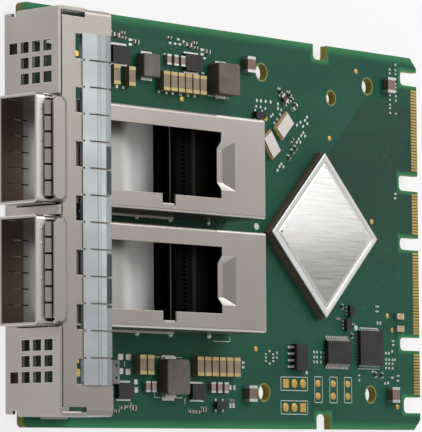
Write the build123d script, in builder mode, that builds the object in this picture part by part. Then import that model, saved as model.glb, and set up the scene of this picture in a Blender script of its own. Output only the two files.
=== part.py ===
from build123d import *
import os

# A mezzanine network card: a circuit board with a contact edge at the back,
# a folded front bracket, and two module cages that reach through the bracket.
# Millimetres. X runs from the ports to the contact edge, Z is up from the
# component side. Heights are counted from the board's top face, and lengths
# from its front edge, through the three plane functions below.

os.makedirs("parts", exist_ok=True)

# Board
board_length = 115.0
board_width = 76.0
board_thickness = 1.6
board_front_radius = 1.0
board_rear_chamfer = 2.4
board_edge_bevel = 0.35
side_notch_length = 4.2
side_notch_depth = 3.0
side_notch_radius = 1.0
side_notch_back = 33.5
key_notch_radius = 1.0

# Contact edge: groups of contacts between notches that key the socket
contact_pitch = 0.6
contact_width = 0.42
contact_length = 2.0
contact_thickness = 0.05
contact_groups = [(23.1, 28), (5.95, 14), (-10.25, 28), (-26.7, 14)]
key_notches = [(33.7, 2.9, 5.7), (12.2, 3.2, 6.5), (-0.2, 2.5, 6.4), (-20.6, 2.7, 6.7), (-33.0, 3.2, 5.7)]

# Holes
heatsink_hole_length = 32.8
heatsink_hole_width = 62.0
heatsink_hole_diameter = 3.2
heatsink_hole_front = 65.65
tool_hole_diameter = 2.7
tool_hole_x = 86.9
tool_hole_y = 27.7

# Front bracket, folded from one sheet
bracket_sheet = 0.7
bracket_width = 72.4
bracket_back = 12.2
faceplate_front = -1.5
faceplate_drop = 2.9
faceplate_lower_width = 71.4
relief_depth = 0.65
relief_height = 1.15
roof_top = 10.4
roof_fold_radius = 1.0
roof_setback = 0.6
front_fold_radius = 0.8
rim_radius = 0.3
seam_gap = 0.3
corner_slot_width = 0.95
corner_slot_back = 5.4
foot_front = 1.0
foot_back = 11.0
foot_width = 4.6
lip_front = 4.0
lip_back = 10.9
lip_width = 0.3
lip_height = 0.4

# Vents in the faceplate
vent_size = 2.0
vent_pitch = 2.82
vent_row_center = 26.45
vent_column_center = 4.95

# Roof windows and the spring finger strip over them
finger_count = 13
finger_pitch = 4.8
finger_gap = 0.35
strip_offset = 0.5
strip_sheet = 0.16
strip_clearance = 0.12
strip_overlap = 0.25
strip_crown = 0.5
strip_crease = 7.9
strip_bend_radius = 1.2
strip_curl_rise = 0.2
strip_curl_radius = 0.35
window_front = 2.9
window_length = 1.9
window_width = 4.4
clip_width = 3.8
slit_front = 6.1
front_nick = 0.5

# Hoods over the ports
hood_side_inset = 0.5
hood_front = -3.65
hood_back = -0.85
hood_rise = 1.0
hood_corner = 0.9
hood_slope = 1.5
hood_end_slope = 0.5
hood_sheet = 0.35
hood_wall = 0.7
hood_end_wall = 0.4

# Port cages
port_gap = 2.5
cage_width = 18.9
cage_top = 9.6
cage_front = -6.3
cage_back = 55.3
cage_sheet = 0.3
cage_floor = 1.0
port_clearance = 0.4
cage_bend_radius = 0.6
top_opening_front = 8.8
top_opening_back = 42.8
top_rail_width = 3.25
spring_notch_front = 26.45
spring_notch_length = 3.6
spring_notch_depth = 2.0
stop_depth = 1.1
stop_flat = 1.4
stop_length = 3.9
stop_side_gap = 1.6
stop_side_slope = 1.45
pin_width = 1.0
pin_drop = 0.5
pin_clearance = 0.1
pin_places = [8.0, 18.5, 29.5, 38.8, 49.5]
rail_front = 14.0
rail_back = 39.4
rail_width = 0.35
rail_height = 0.5
base_clearance = 0.05
base_slit_front = -4.6
base_slit_length = 5.2
base_slit_width = 0.25

# Spring collars round the cage mouths
collar_sheet = 0.2
collar_band = 2.0
collar_finger_length = 3.2
collar_finger_pitch = 2.87
collar_finger_gap = 0.35
collar_side_fingers = 3
collar_top_bow = 0.65
collar_bow_flat = 1.2
collar_side_bow = 0.1

# Module connectors inside the cages
connector_front = 33.4
connector_length = 15.0
connector_side_gap = 0.85
connector_height = 6.4
card_slot_depth = 8.0
card_slot_end_wall = 0.6
card_slot_height = 1.7
card_slot_level = 3.6
connector_pitch = 0.8
connector_contact_width = 0.3
connector_groove_width = 0.46
connector_groove_depth = 0.7
connector_groove_length = 1.0
connector_groove_setback = 2.4
connector_trough_length = 1.3
connector_trough_setback = 5.6
connector_contact_sheet = 0.25
connector_contact_setback = 2.9
connector_tail = 1.3

# Fasteners that hold the bracket's feet from below
screw_diameter = 1.6
screw_head_diameter = 3.4
screw_head_height = 0.5
screw_hole_clearance = 0.2
screw_slot_length = 1.8
screw_slot_width = 0.35
screw_slot_depth = 0.3

# Main processor, turned by 45 degrees, between the heat sink holes
processor_x = 82.4
processor_side = 23.3
substrate_height = 1.1
lid_margin = 0.15
lid_flange_height = 0.65
lid_panel_side = 20.2
lid_panel_rise = 0.4
lid_panel_bevel = 0.3
lid_panel_corner = 0.6

# Power stages: flat square chips with a bar of solder pads on two sides
power_stage_height = 0.9
power_stage_places = [
    (25.1, 30.7, 4.5, 3.2),
    (45.1, 30.9, 4.3, 3.2),
    (25.8, -31.2, 3.8, 2.8),
    (45.9, -31.1, 3.5, 2.8),
]
pad_thickness = 0.12
power_pad_width = 0.35
power_pad_gap = 0.1

# Inductors: place, length, width, height and corner radius
inductor_places = [
    (32.4, 29.2, 4.5, 4.3, 1.9, 0.3),
    (53.3, 28.35, 6.2, 6.0, 2.7, 0.5),
    (38.6, -28.5, 6.3, 6.6, 2.5, 0.8),
]
inductor_terminal_length = 3.0
inductor_terminal_width = 0.55
inductor_terminal_height = 0.35
inductor_bevel = 0.15

# Chip capacitors, all with their end caps along the card's width
tan_capacitor = (1.75, 3.6, 1.55)
tan_capacitor_rows = [(25.25, 26.75, 4.1, 2), (41.95, 26.75, 2.06, 6), (30.9, -26.35, 2.1, 2), (51.0, -26.35, 2.1, 6)]
small_capacitor = (1.2, 2.0, 0.8)
small_capacitor_rows = [(40.3, 30.95, 1.95, 3), (32.8, -30.35, 1.65, 2), (52.05, -30.25, 1.85, 3)]
brown_capacitor = (2.35, 3.1, 1.4)
brown_capacitor_rows = [(61.3, 32.0, 1, 1), (104.8, 31.7, 1, 1), (61.0, -31.3, 1, 1), (105.1, -31.0, 1, 1)]
cap_share = 0.18
cap_rim = 0.03

# Memory chip with gull-wing leads
memory_x = 75.7
memory_y = -24.0
memory_length = 3.7
memory_width = 5.0
memory_height = 1.5
memory_pitch = 1.27
memory_ways = 4
lead_sheet = 0.2
lead_reach = 1.15
lead_shoulder = 0.25
lead_foot_start = 0.5
lead_level = 0.7
lead_width = 0.42
body_standoff = 0.1

# Logic chip with fine leads on its long sides
logic_x = 87.75
logic_y = -22.85
logic_length = 7.4
logic_width = 4.5
logic_height = 1.1
logic_pitch = 0.65
logic_ways = 11
logic_lead_width = 0.3
logic_lead_reach = 1.0
logic_lead_level = 0.5

# Controller chip with pads round its edges
controller_x = 98.1
controller_y = -21.75
controller_length = 7.3
controller_width = 6.9
controller_height = 0.9
controller_pad_pitch = 0.6
controller_pad_length = 0.35
controller_pad_width = 0.3
controller_pads_long = 11
controller_pads_short = 10

# Clock oscillators: ceramic bases with metal lids, turned like the processor
oscillator_places = [(71.9, 21.0, 45.0), (67.9, 17.0, -53.0)]
oscillator_length = 5.0
oscillator_width = 3.2
oscillator_base_height = 0.55
oscillator_lid_margin = 0.25
oscillator_lid_height = 0.3

# Small transistors: place, length and width, with leads on both long sides
transistor_height = 0.95
transistor_places = [
    (92.0, -14.5, 1.5, 2.2),
    (90.9, -17.3, 1.5, 2.2),
    (52.4, -33.6, 2.7, 1.5),
    (64.6, 22.5, 2.8, 1.3),
]
transistor_lead_width = 0.35
transistor_lead_pitch = 0.7
transistor_lead_length = 0.5

# Fuses near the contact edge
fuse_places = [(107.7, -15.1), (107.7, -17.6)]
fuse_length = 2.2
fuse_width = 1.2
fuse_height = 0.7

# Gold pads of the option jumpers
header_pad_places = [(74.8, -29.15, 3, 2.6), (74.75, -33.8, 3, 2.6)]
header_pad_length = 1.75
header_pad_width = 2.2
header_pad_corner = 0.4
jumper_pad_x = [82.0, 86.75, 91.3]
jumper_pad_y = -30.25
jumper_pad_pitch = 2.45
jumper_pad_diameter = 1.35
test_pad_diameter = 1.0
test_pad_places = [
    (42.6, 23.9),
    (95.0, 33.75),
    (86.4, 19.6),
    (99.5, 3.7),
    (63.4, -22.7),
    (104.2, -15.1),
    (105.8, -17.9),
    (107.2, -33.4),
    (66.7, 23.7),
]
gold_thickness = 0.04

# Indicator lamps on the board's front edge, behind the lowest vent of each end
lamp_length = 0.6
lamp_width = 2.4
lamp_top = 0.3
lamp_bottom = -2.0

# Overall frame: origin under the middle of the card, at its lowest edge
board_front = -(board_length + cage_front) / 2
board_top = faceplate_drop


def level(x, y, height=0.0):
    """A flat plane at a place on the board."""
    return Plane(origin=(board_front + x, y, board_top + height))


def across(x):
    """An upright plane across the card: sketch x is width, sketch y is height."""
    return Plane(origin=(board_front + x, 0, board_top), x_dir=(0, 1, 0), z_dir=(1, 0, 0))


def along(y):
    """An upright plane along the card: sketch x is length, sketch y is height."""
    return Plane(origin=(board_front, y, board_top), x_dir=(1, 0, 0), z_dir=(0, -1, 0))


# Places that several pieces share
heatsink_center_x = heatsink_hole_front + heatsink_hole_length / 2
side_notch_x = board_length - side_notch_back + side_notch_length / 2
wall_outer = bracket_width / 2
wall_inner = wall_outer - bracket_sheet
faceplate_back = faceplate_front + bracket_sheet
roof_front = faceplate_back + seam_gap
roof_bottom = roof_top - bracket_sheet
port_pitch = cage_width + port_gap
port_centers = [port_pitch / 2, -port_pitch / 2]
top_opening_width = cage_width - 2 * top_rail_width
stop_width = top_opening_width - 2 * stop_side_gap
stop_flat_width = stop_width - 2 * stop_side_slope
collar_top_fingers = int(cage_width / collar_finger_pitch)
collar_bottom_fingers = collar_top_fingers - 1
connector_width = cage_width - 2 * cage_sheet - 2 * connector_side_gap
card_slot_width = connector_width - 2 * card_slot_end_wall
connector_ways = int(card_slot_width / connector_pitch)
port_opening_width = cage_width + 2 * port_clearance
foot_center_x = (foot_front + foot_back) / 2
foot_center_y = wall_inner - foot_width / 2
screw_places = [(foot_center_x, foot_center_y), (foot_center_x, -foot_center_y)]
pin_rows = [
    center + side * (cage_width / 2 - cage_sheet / 2)
    for center in port_centers
    for side in (1, -1)
]

# The circuit board
with BuildPart() as circuit_board:
    with BuildSketch(level(0, 0, -board_thickness)):
        with Locations((board_length / 2, 0)):
            Rectangle(board_length, board_width)
        fillet(vertices().group_by(Axis.X)[0], board_front_radius)
        chamfer(vertices().group_by(Axis.X)[-1], board_rear_chamfer)
        with Locations((side_notch_x, board_width / 2), (side_notch_x, -board_width / 2)):
            RectangleRounded(
                side_notch_length, 2 * side_notch_depth, side_notch_radius, mode=Mode.SUBTRACT
            )
        for key_y, key_width, key_depth in key_notches:
            with Locations((board_length, key_y)):
                RectangleRounded(2 * key_depth, key_width, key_notch_radius, mode=Mode.SUBTRACT)
    extrude(amount=board_thickness)
    rear_edges = edges().filter_by(Axis.Y).group_by(Axis.X)[-1]
    chamfer(rear_edges, board_edge_bevel)
    with Locations(level(heatsink_center_x, 0)):
        with GridLocations(heatsink_hole_length, heatsink_hole_width, 2, 2):
            Hole(heatsink_hole_diameter / 2, depth=board_thickness)
    with Locations(level(tool_hole_x, tool_hole_y)):
        Hole(tool_hole_diameter / 2, depth=board_thickness)
    for hole_x, hole_y in screw_places:
        with Locations(level(hole_x, hole_y)):
            Hole(screw_diameter / 2 + screw_hole_clearance, depth=board_thickness)
    with BuildSketch(level(0, 0)):
        with Locations([(pin_x, pin_y) for pin_x in pin_places for pin_y in pin_rows]):
            Rectangle(pin_width + 2 * pin_clearance, cage_sheet + 2 * pin_clearance)
    extrude(amount=-board_thickness, mode=Mode.SUBTRACT)
circuit_board.part.label = "circuit_board"
export_step(circuit_board.part, "parts/circuit_board.step")


def contact_row():
    """Sketch rectangles for one face of the contact edge."""
    for group_center, count in contact_groups:
        with Locations((contact_length / 2, group_center)):
            with GridLocations(contact_length, contact_pitch, 1, count):
                Rectangle(contact_length, contact_width)


contact_start = board_length - board_edge_bevel - contact_length

with BuildPart() as edge_contacts_top:
    with BuildSketch(level(contact_start, 0)):
        contact_row()
    extrude(amount=contact_thickness)
edge_contacts_top.part.label = "edge_contacts_top"
export_step(edge_contacts_top.part, "parts/edge_contacts_top.step")

with BuildPart() as edge_contacts_bottom:
    with BuildSketch(level(contact_start, 0, -board_thickness)):
        contact_row()
    extrude(amount=-contact_thickness)
edge_contacts_bottom.part.label = "edge_contacts_bottom"
export_step(edge_contacts_bottom.part, "parts/edge_contacts_bottom.step")

# The hollow under each hood follows its slopes, one wall further in
hood_width = cage_width - 2 * hood_side_inset
hollow_front = hood_front - 2 * hood_corner
hollow_height = hood_rise - hood_sheet + bracket_sheet
hollow_back = hood_back + hood_sheet * hood_slope / hood_rise - hood_wall
hollow_width = hood_width + 2 * (hood_sheet * hood_end_slope / hood_rise - hood_end_wall)


def hood_outline(front, back, width):
    """Sketch the outline of a hood or of its hollow, with cut corners."""
    with Locations(((front + back) / 2, 0)):
        Rectangle(back - front, width)
    chamfer(vertices(), hood_corner)


# The front bracket
with BuildPart() as front_bracket:
    with BuildSketch(across(faceplate_front)):
        Rectangle(bracket_width, roof_top, align=(Align.CENTER, Align.MIN))
    extrude(amount=corner_slot_back - faceplate_front)
    fillet(edges().filter_by(Axis.Z).group_by(Axis.X)[0], front_fold_radius)
    with BuildSketch(across(corner_slot_back)):
        Rectangle(bracket_width, roof_top, align=(Align.CENTER, Align.MIN))
        fillet(vertices().group_by(Axis.Y)[-1], roof_fold_radius)
    extrude(amount=bracket_back - corner_slot_back)
    with BuildSketch(across(faceplate_back)):
        Rectangle(2 * wall_inner, roof_bottom, align=(Align.CENTER, Align.MIN))
        fillet(vertices().group_by(Axis.Y)[-1], roof_fold_radius - bracket_sheet)
    extrude(amount=bracket_back - faceplate_back, mode=Mode.SUBTRACT)
    # lower part of the faceplate, in front of the board's edge
    with BuildSketch(across(faceplate_front)):
        Rectangle(faceplate_lower_width, faceplate_drop, align=(Align.CENTER, Align.MAX))
        fillet(vertices().group_by(Axis.Y)[0], rim_radius)
        with Locations((faceplate_lower_width / 2, 0), (-faceplate_lower_width / 2, 0)):
            Rectangle(
                2 * relief_depth, relief_height, align=(Align.CENTER, Align.MAX), mode=Mode.SUBTRACT
            )
    extrude(amount=bracket_sheet)
    # raised hood over each port, drawn up from the roof and open to the front
    for center in port_centers:
        with BuildSketch(level(0, center, roof_top)):
            hood_outline(hood_front, hood_back + hood_slope, hood_width + 2 * hood_end_slope)
        with BuildSketch(level(0, center, roof_top + hood_rise)):
            hood_outline(hood_front, hood_back, hood_width)
        loft(ruled=True)
        with BuildSketch(level(0, center, roof_bottom)):
            hood_outline(
                hollow_front,
                hollow_back + hollow_height * hood_slope / hood_rise,
                hollow_width + 2 * hollow_height * hood_end_slope / hood_rise,
            )
        with BuildSketch(level(0, center, roof_top + hood_rise - hood_sheet)):
            hood_outline(hollow_front, hollow_back, hollow_width)
        loft(ruled=True, mode=Mode.SUBTRACT)
    # port openings, the seam behind the faceplate and the slots at the corners
    with BuildSketch(across(faceplate_front)):
        with Locations((port_centers[0], 0), (port_centers[1], 0)):
            Rectangle(port_opening_width, roof_top, align=(Align.CENTER, Align.MIN))
    extrude(amount=bracket_sheet + seam_gap, mode=Mode.SUBTRACT)
    with BuildSketch(level(faceplate_back, 0, roof_bottom)):
        Rectangle(seam_gap, 2 * wall_inner, align=(Align.MIN, Align.CENTER))
        with Locations((0, wall_inner)):
            Rectangle(
                corner_slot_back - faceplate_back, corner_slot_width, align=(Align.MIN, Align.MAX)
            )
        with Locations((0, -wall_inner)):
            Rectangle(
                corner_slot_back - faceplate_back, corner_slot_width, align=(Align.MIN, Align.MIN)
            )
    extrude(amount=bracket_sheet, mode=Mode.SUBTRACT)
    # the roof's back edge stands back where the strip bends round it
    with BuildSketch(level(bracket_back, strip_offset, roof_bottom)):
        Rectangle(
            roof_setback,
            finger_count * finger_pitch + 2 * strip_clearance,
            align=(Align.MAX, Align.CENTER),
        )
    extrude(amount=bracket_sheet, mode=Mode.SUBTRACT)
    # windows under every second spring finger
    with BuildSketch(level(window_front + window_length / 2, strip_offset, roof_bottom)):
        with GridLocations(1, 2 * finger_pitch, 1, (finger_count + 1) // 2):
            Rectangle(window_length, window_width)
    extrude(amount=bracket_sheet, mode=Mode.SUBTRACT)
    # vents: three rows at each end, with one more hole low in the outer row
    with BuildSketch(across(faceplate_front)):
        for side in (1, -1):
            with Locations((side * vent_row_center, vent_column_center)):
                with GridLocations(vent_pitch, vent_pitch, 3, 3):
                    Rectangle(vent_size, vent_size)
            with Locations(
                (side * (vent_row_center + vent_pitch), vent_column_center - 2 * vent_pitch)
            ):
                Rectangle(vent_size, vent_size)
    extrude(amount=bracket_sheet, mode=Mode.SUBTRACT)
    # feet that stand on the board, folded in, and the outer lips of the walls
    for side in (1, -1):
        with BuildSketch(level(foot_center_x, side * foot_center_y)):
            Rectangle(foot_back - foot_front, foot_width)
            Circle(screw_diameter / 2, mode=Mode.SUBTRACT)
        extrude(amount=bracket_sheet)
        with BuildSketch(level((lip_front + lip_back) / 2, side * (wall_outer + lip_width / 2))):
            Rectangle(lip_back - lip_front, lip_width)
        extrude(amount=lip_height)
front_bracket.part.label = "front_bracket"
export_step(front_bracket.part, "parts/front_bracket.step")

# The strip of spring fingers on the roof, bent over the roof's back edge
strip_foot = roof_top + strip_sheet / 2
strip_front = window_front + window_length - strip_overlap
strip_back = bracket_back - roof_setback + strip_clearance + strip_sheet / 2
strip_width = finger_count * finger_pitch

with BuildPart() as spring_finger_strip:
    with BuildSketch(along(strip_offset)):
        with BuildLine():
            FilletPolyline(
                (strip_front, strip_foot),
                (strip_crease, strip_foot + strip_crown),
                (strip_back, strip_foot + strip_curl_rise),
                (strip_back, roof_bottom),
                radius=[strip_bend_radius, strip_curl_radius],
            )
        trace(line_width=strip_sheet)
    extrude(amount=strip_width / 2, both=True)
    with BuildSketch(level(slit_front, strip_offset, roof_bottom - bracket_sheet)):
        with GridLocations(1, finger_pitch, 1, finger_count - 1):
            Rectangle(bracket_back, finger_gap, align=(Align.MIN, Align.CENTER))
    extrude(amount=3 * bracket_sheet + strip_crown, mode=Mode.SUBTRACT)
    with BuildSketch(level(strip_front, strip_offset, roof_top)):
        with GridLocations(1, finger_pitch, 1, finger_count - 1):
            Rectangle(2 * front_nick, finger_gap)
    extrude(amount=strip_crown, mode=Mode.SUBTRACT)
    # tongues that drop into the windows
    with BuildSketch(level(strip_front, strip_offset, roof_bottom + strip_clearance)):
        with GridLocations(1, 2 * finger_pitch, 1, (finger_count + 1) // 2):
            Rectangle(strip_sheet, clip_width, align=(Align.MIN, Align.CENTER))
    extrude(amount=bracket_sheet)
spring_finger_strip.part.label = "spring_finger_strip"
export_step(spring_finger_strip.part, "parts/spring_finger_strip.step")

# Screws through the board into the bracket's feet
with BuildPart() as bracket_screws:
    for screw_x, screw_y in screw_places:
        with BuildSketch(level(screw_x, screw_y, -board_thickness)):
            Circle(screw_diameter / 2)
        extrude(amount=board_thickness + bracket_sheet)
        with BuildSketch(level(screw_x, screw_y, -board_thickness)):
            Circle(screw_head_diameter / 2)
        extrude(amount=-screw_head_height)
        with BuildSketch(level(screw_x, screw_y, -board_thickness - screw_head_height)):
            Rectangle(screw_slot_length, screw_slot_width)
            Rectangle(screw_slot_width, screw_slot_length)
        extrude(amount=screw_slot_depth, mode=Mode.SUBTRACT)
bracket_screws.part.label = "bracket_screws"
export_step(bracket_screws.part, "parts/bracket_screws.step")

# The two ports
inner_width = cage_width - 2 * cage_sheet
cage_length = cage_back - cage_front
band_back = cage_front + collar_band

for number, center in enumerate(port_centers, start=1):
    # folded cage: top, sides and back, with press pins along the feet
    with BuildPart() as cage_shell:
        with BuildSketch(across(cage_front)):
            with Locations((center, 0)):
                Rectangle(cage_width, cage_top, align=(Align.CENTER, Align.MIN))
            fillet(vertices().group_by(Axis.Y)[-1], cage_bend_radius)
        extrude(amount=cage_length)
        with BuildSketch(across(cage_front)):
            with Locations((center, 0)):
                Rectangle(inner_width, cage_top - cage_sheet, align=(Align.CENTER, Align.MIN))
            fillet(vertices().group_by(Axis.Y)[-1], cage_bend_radius - cage_sheet)
        extrude(amount=cage_length - cage_sheet, mode=Mode.SUBTRACT)
        # the mouth stops above the board's level
        with BuildSketch(level(0, center)):
            Rectangle(-cage_front, cage_width, align=(Align.MAX, Align.CENTER))
        extrude(amount=cage_floor - cage_sheet, mode=Mode.SUBTRACT)
        # the back wall leaves room for the connector's tails
        with BuildSketch(across(cage_back - cage_sheet)):
            with Locations((center, 0)):
                Rectangle(connector_width, 2 * rail_height, align=(Align.CENTER, Align.MIN))
        extrude(amount=cage_sheet, mode=Mode.SUBTRACT)
        # opening for a heat sink, with the notch of a side spring
        with BuildSketch(level(top_opening_front, center, cage_top - cage_sheet)):
            Rectangle(
                top_opening_back - top_opening_front,
                top_opening_width,
                align=(Align.MIN, Align.CENTER),
            )
            with Locations((spring_notch_front - top_opening_front, -top_opening_width / 2)):
                Rectangle(
                    spring_notch_length, 2 * spring_notch_depth, align=(Align.MIN, Align.CENTER)
                )
        extrude(amount=cage_sheet, mode=Mode.SUBTRACT)
        # module stop, pressed down behind the opening
        for lift, way in ((-cage_sheet, Mode.ADD), (0, Mode.SUBTRACT)):
            with BuildSketch(level(top_opening_back, center, cage_top + lift)):
                Rectangle(stop_length, stop_width, align=(Align.MIN, Align.CENTER))
            with BuildSketch(level(top_opening_back, center, cage_top - stop_depth + lift)):
                Rectangle(stop_flat, stop_flat_width, align=(Align.MIN, Align.CENTER))
            loft(ruled=True, mode=way)
        # pins and the rail between them
        for side in (1, -1):
            wall_middle = center + side * (cage_width - cage_sheet) / 2
            with BuildSketch(level(0, wall_middle)):
                with Locations([(place, 0) for place in pin_places]):
                    Rectangle(pin_width, cage_sheet)
            extrude(amount=-board_thickness - pin_drop)
            with BuildSketch(level(rail_front, center + side * cage_width / 2)):
                with Locations((0, side * rail_width / 2)):
                    Rectangle(rail_back - rail_front, rail_width, align=(Align.MIN, Align.CENTER))
            extrude(amount=rail_height)
    cage_shell.part.label = f"port_{number}_cage_shell"
    export_step(cage_shell.part, f"parts/port_{number}_cage_shell.step")

    # cage floor, with slits between its spring fingers
    with BuildPart() as cage_base:
        with BuildSketch(level(cage_front, center, cage_floor - cage_sheet)):
            Rectangle(
                connector_front - cage_front - base_clearance,
                inner_width - 2 * base_clearance,
                align=(Align.MIN, Align.CENTER),
            )
            with Locations((base_slit_front - cage_front + base_slit_length / 2, 0)):
                with GridLocations(1, collar_finger_pitch, 1, collar_top_fingers - 1):
                    Rectangle(base_slit_length, base_slit_width, mode=Mode.SUBTRACT)
        extrude(amount=cage_sheet)
        with BuildSketch(level(0, center)):
            with Locations((pin_places[0], 0), (pin_places[2], 0)):
                Rectangle(cage_sheet, inner_width - 2 * base_clearance)
        extrude(amount=cage_floor - cage_sheet)
    cage_base.part.label = f"port_{number}_cage_base"
    export_step(cage_base.part, f"parts/port_{number}_cage_base.step")

    # spring collar: a band round the mouth with bowed fingers behind it
    cage_bottom = cage_floor - cage_sheet
    band_height = cage_top - cage_bottom + 2 * collar_sheet
    finger_width = collar_finger_pitch - collar_finger_gap
    finger_back = band_back + collar_finger_length
    bow_front = band_back + (collar_finger_length - collar_bow_flat) / 2
    bow_back = bow_front + collar_bow_flat
    bowed = []
    for way, start_level in ((1, cage_top), (-1, cage_bottom)):
        with BuildPart() as bowed_finger:
            with BuildSketch(along(center)):
                with BuildLine():
                    Polyline(
                        (band_back, start_level + way * collar_sheet / 2),
                        (bow_front, start_level + way * (collar_top_bow + collar_sheet / 2)),
                        (bow_back, start_level + way * (collar_top_bow + collar_sheet / 2)),
                        (finger_back, start_level + way * collar_sheet / 2),
                    )
                trace(line_width=collar_sheet)
            extrude(amount=finger_width / 2, both=True)
        bowed.append(bowed_finger.part)
    with BuildPart() as spring_collar:
        with BuildSketch(across(cage_front)):
            with Locations((center, cage_bottom - collar_sheet)):
                Rectangle(
                    cage_width + 2 * collar_sheet, band_height, align=(Align.CENTER, Align.MIN)
                )
            fillet(vertices().group_by(Axis.Y)[-1], cage_bend_radius + collar_sheet)
        extrude(amount=collar_band)
        with BuildSketch(across(cage_front)):
            with Locations((center, cage_bottom)):
                Rectangle(cage_width, cage_top - cage_bottom, align=(Align.CENTER, Align.MIN))
            fillet(vertices().group_by(Axis.Y)[-1], cage_bend_radius)
        extrude(amount=collar_band, mode=Mode.SUBTRACT)
        with GridLocations(1, collar_finger_pitch, 1, collar_top_fingers):
            add(bowed[0])
        with GridLocations(1, collar_finger_pitch, 1, collar_bottom_fingers):
            add(bowed[1])
        side_middle = (cage_top + cage_bottom) / 2
        for side in (1, -1):
            with BuildSketch(across(band_back)):
                with Locations((center + side * (cage_width + collar_sheet) / 2, side_middle)):
                    with GridLocations(1, collar_finger_pitch, 1, collar_side_fingers):
                        Rectangle(collar_sheet, finger_width)
            extrude(amount=collar_finger_length)
    spring_collar.part.label = f"port_{number}_spring_collar"
    export_step(spring_collar.part, f"parts/port_{number}_spring_collar.step")

    # module connector: a block with a card slot and grooves for its contacts
    slot_top = card_slot_level + card_slot_height / 2
    slot_bottom = card_slot_level - card_slot_height / 2
    connector_back = connector_front + connector_length
    with BuildPart() as connector_body:
        with BuildSketch(level(connector_front, center)):
            Rectangle(connector_length, connector_width, align=(Align.MIN, Align.CENTER))
        extrude(amount=connector_height)
        chamfer(edges().filter_by(Axis.Y).group_by(Axis.Z)[-1], rim_radius)
        with BuildSketch(across(connector_front)):
            with Locations((center, card_slot_level)):
                Rectangle(card_slot_width, card_slot_height)
        extrude(amount=card_slot_depth, mode=Mode.SUBTRACT)
        # upper grooves open upward in two short rows, as seen through the cage
        with BuildSketch(level(connector_front + connector_groove_setback, center, connector_height)):
            with GridLocations(1, connector_pitch, 1, connector_ways):
                Rectangle(connector_groove_length, connector_groove_width)
        extrude(amount=-connector_groove_depth, mode=Mode.SUBTRACT)
        with BuildSketch(level(connector_front + connector_trough_setback, center, connector_height)):
            Rectangle(connector_trough_length, card_slot_width)
        extrude(amount=-rim_radius, mode=Mode.SUBTRACT)
        # recess along the back for the contact tails
        with BuildSketch(along(center)):
            with Locations((connector_back, 0)):
                Rectangle(connector_tail, slot_top, align=(Align.MAX, Align.MIN))
        extrude(amount=card_slot_width / 2, both=True, mode=Mode.SUBTRACT)
        with BuildSketch(along(center)):
            with Locations((connector_front + card_slot_depth, slot_top)):
                Rectangle(
                    connector_length - card_slot_depth,
                    connector_contact_sheet,
                    align=(Align.MIN, Align.MAX),
                )
            with Locations((connector_front + card_slot_depth, slot_bottom)):
                Rectangle(
                    connector_length - card_slot_depth,
                    connector_contact_sheet,
                    align=(Align.MIN, Align.MIN),
                )
        extrude(amount=card_slot_width / 2, both=True, mode=Mode.SUBTRACT)
    connector_body.part.label = f"port_{number}_connector_body"
    export_step(connector_body.part, f"parts/port_{number}_connector_body.step")

    # bent contacts: beams in the card slot and tails on the board
    tail_front = connector_back - connector_tail + base_clearance
    beam_front = connector_front + connector_contact_setback
    with BuildPart() as connector_contact:
        with BuildSketch(along(center)):
            with Locations((beam_front, slot_top)):
                Rectangle(
                    connector_back - beam_front,
                    connector_contact_sheet,
                    align=(Align.MIN, Align.MAX),
                )
            with Locations((connector_back, 0)):
                Rectangle(connector_contact_sheet, slot_top, align=(Align.MAX, Align.MIN))
                Rectangle(
                    connector_tail,
                    connector_contact_sheet,
                    align=(Align.MIN, Align.MIN),
                )
            with Locations((beam_front, slot_bottom)):
                Rectangle(
                    tail_front + connector_contact_sheet - beam_front,
                    connector_contact_sheet,
                    align=(Align.MIN, Align.MIN),
                )
            with Locations((tail_front, 0)):
                Rectangle(connector_contact_sheet, slot_bottom, align=(Align.MIN, Align.MIN))
        extrude(amount=connector_contact_width / 2, both=True)
    with BuildPart() as connector_contacts:
        with GridLocations(1, connector_pitch, 1, connector_ways):
            add(connector_contact.part)
    connector_contacts.part.label = f"port_{number}_connector_contacts"
    export_step(connector_contacts.part, f"parts/port_{number}_connector_contacts.step")

# The main processor: substrate and metal lid
turned = Plane(level(processor_x, 0).origin, x_dir=(1, 1, 0), z_dir=(0, 0, 1))
lid_side = processor_side - 2 * lid_margin
with BuildPart() as processor_substrate:
    with BuildSketch(turned):
        Rectangle(processor_side, processor_side)
    extrude(amount=substrate_height)
processor_substrate.part.label = "processor_substrate"
export_step(processor_substrate.part, "parts/processor_substrate.step")

with BuildPart() as processor_lid:
    with BuildSketch(turned.offset(substrate_height)):
        Rectangle(lid_side, lid_side)
        chamfer(vertices(), lid_margin)
    extrude(amount=lid_flange_height)
    with BuildSketch(turned.offset(substrate_height + lid_flange_height)):
        Rectangle(lid_panel_side, lid_panel_side)
        chamfer(vertices(), lid_panel_corner)
    extrude(amount=lid_panel_rise)
    chamfer(faces().sort_by(Axis.Z)[-1].edges(), lid_panel_bevel)
processor_lid.part.label = "processor_lid"
export_step(processor_lid.part, "parts/processor_lid.step")

# Power stages and the solder bars beside them
for number, (place_x, place_y, length, width) in enumerate(power_stage_places, start=1):
    with BuildPart() as power_stage:
        with BuildSketch(level(place_x, place_y)):
            Rectangle(length, width)
        extrude(amount=power_stage_height)
    power_stage.part.label = f"power_stage_{number}"
    export_step(power_stage.part, f"parts/power_stage_{number}.step")

with BuildPart() as power_stage_pads:
    for place_x, place_y, length, width in power_stage_places:
        with BuildSketch(level(place_x, place_y)):
            with GridLocations(1, width + 2 * power_pad_gap + power_pad_width, 1, 2):
                Rectangle(length - 2 * power_pad_gap, power_pad_width)
        extrude(amount=pad_thickness)
power_stage_pads.part.label = "power_stage_pads"
export_step(power_stage_pads.part, "parts/power_stage_pads.step")

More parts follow.
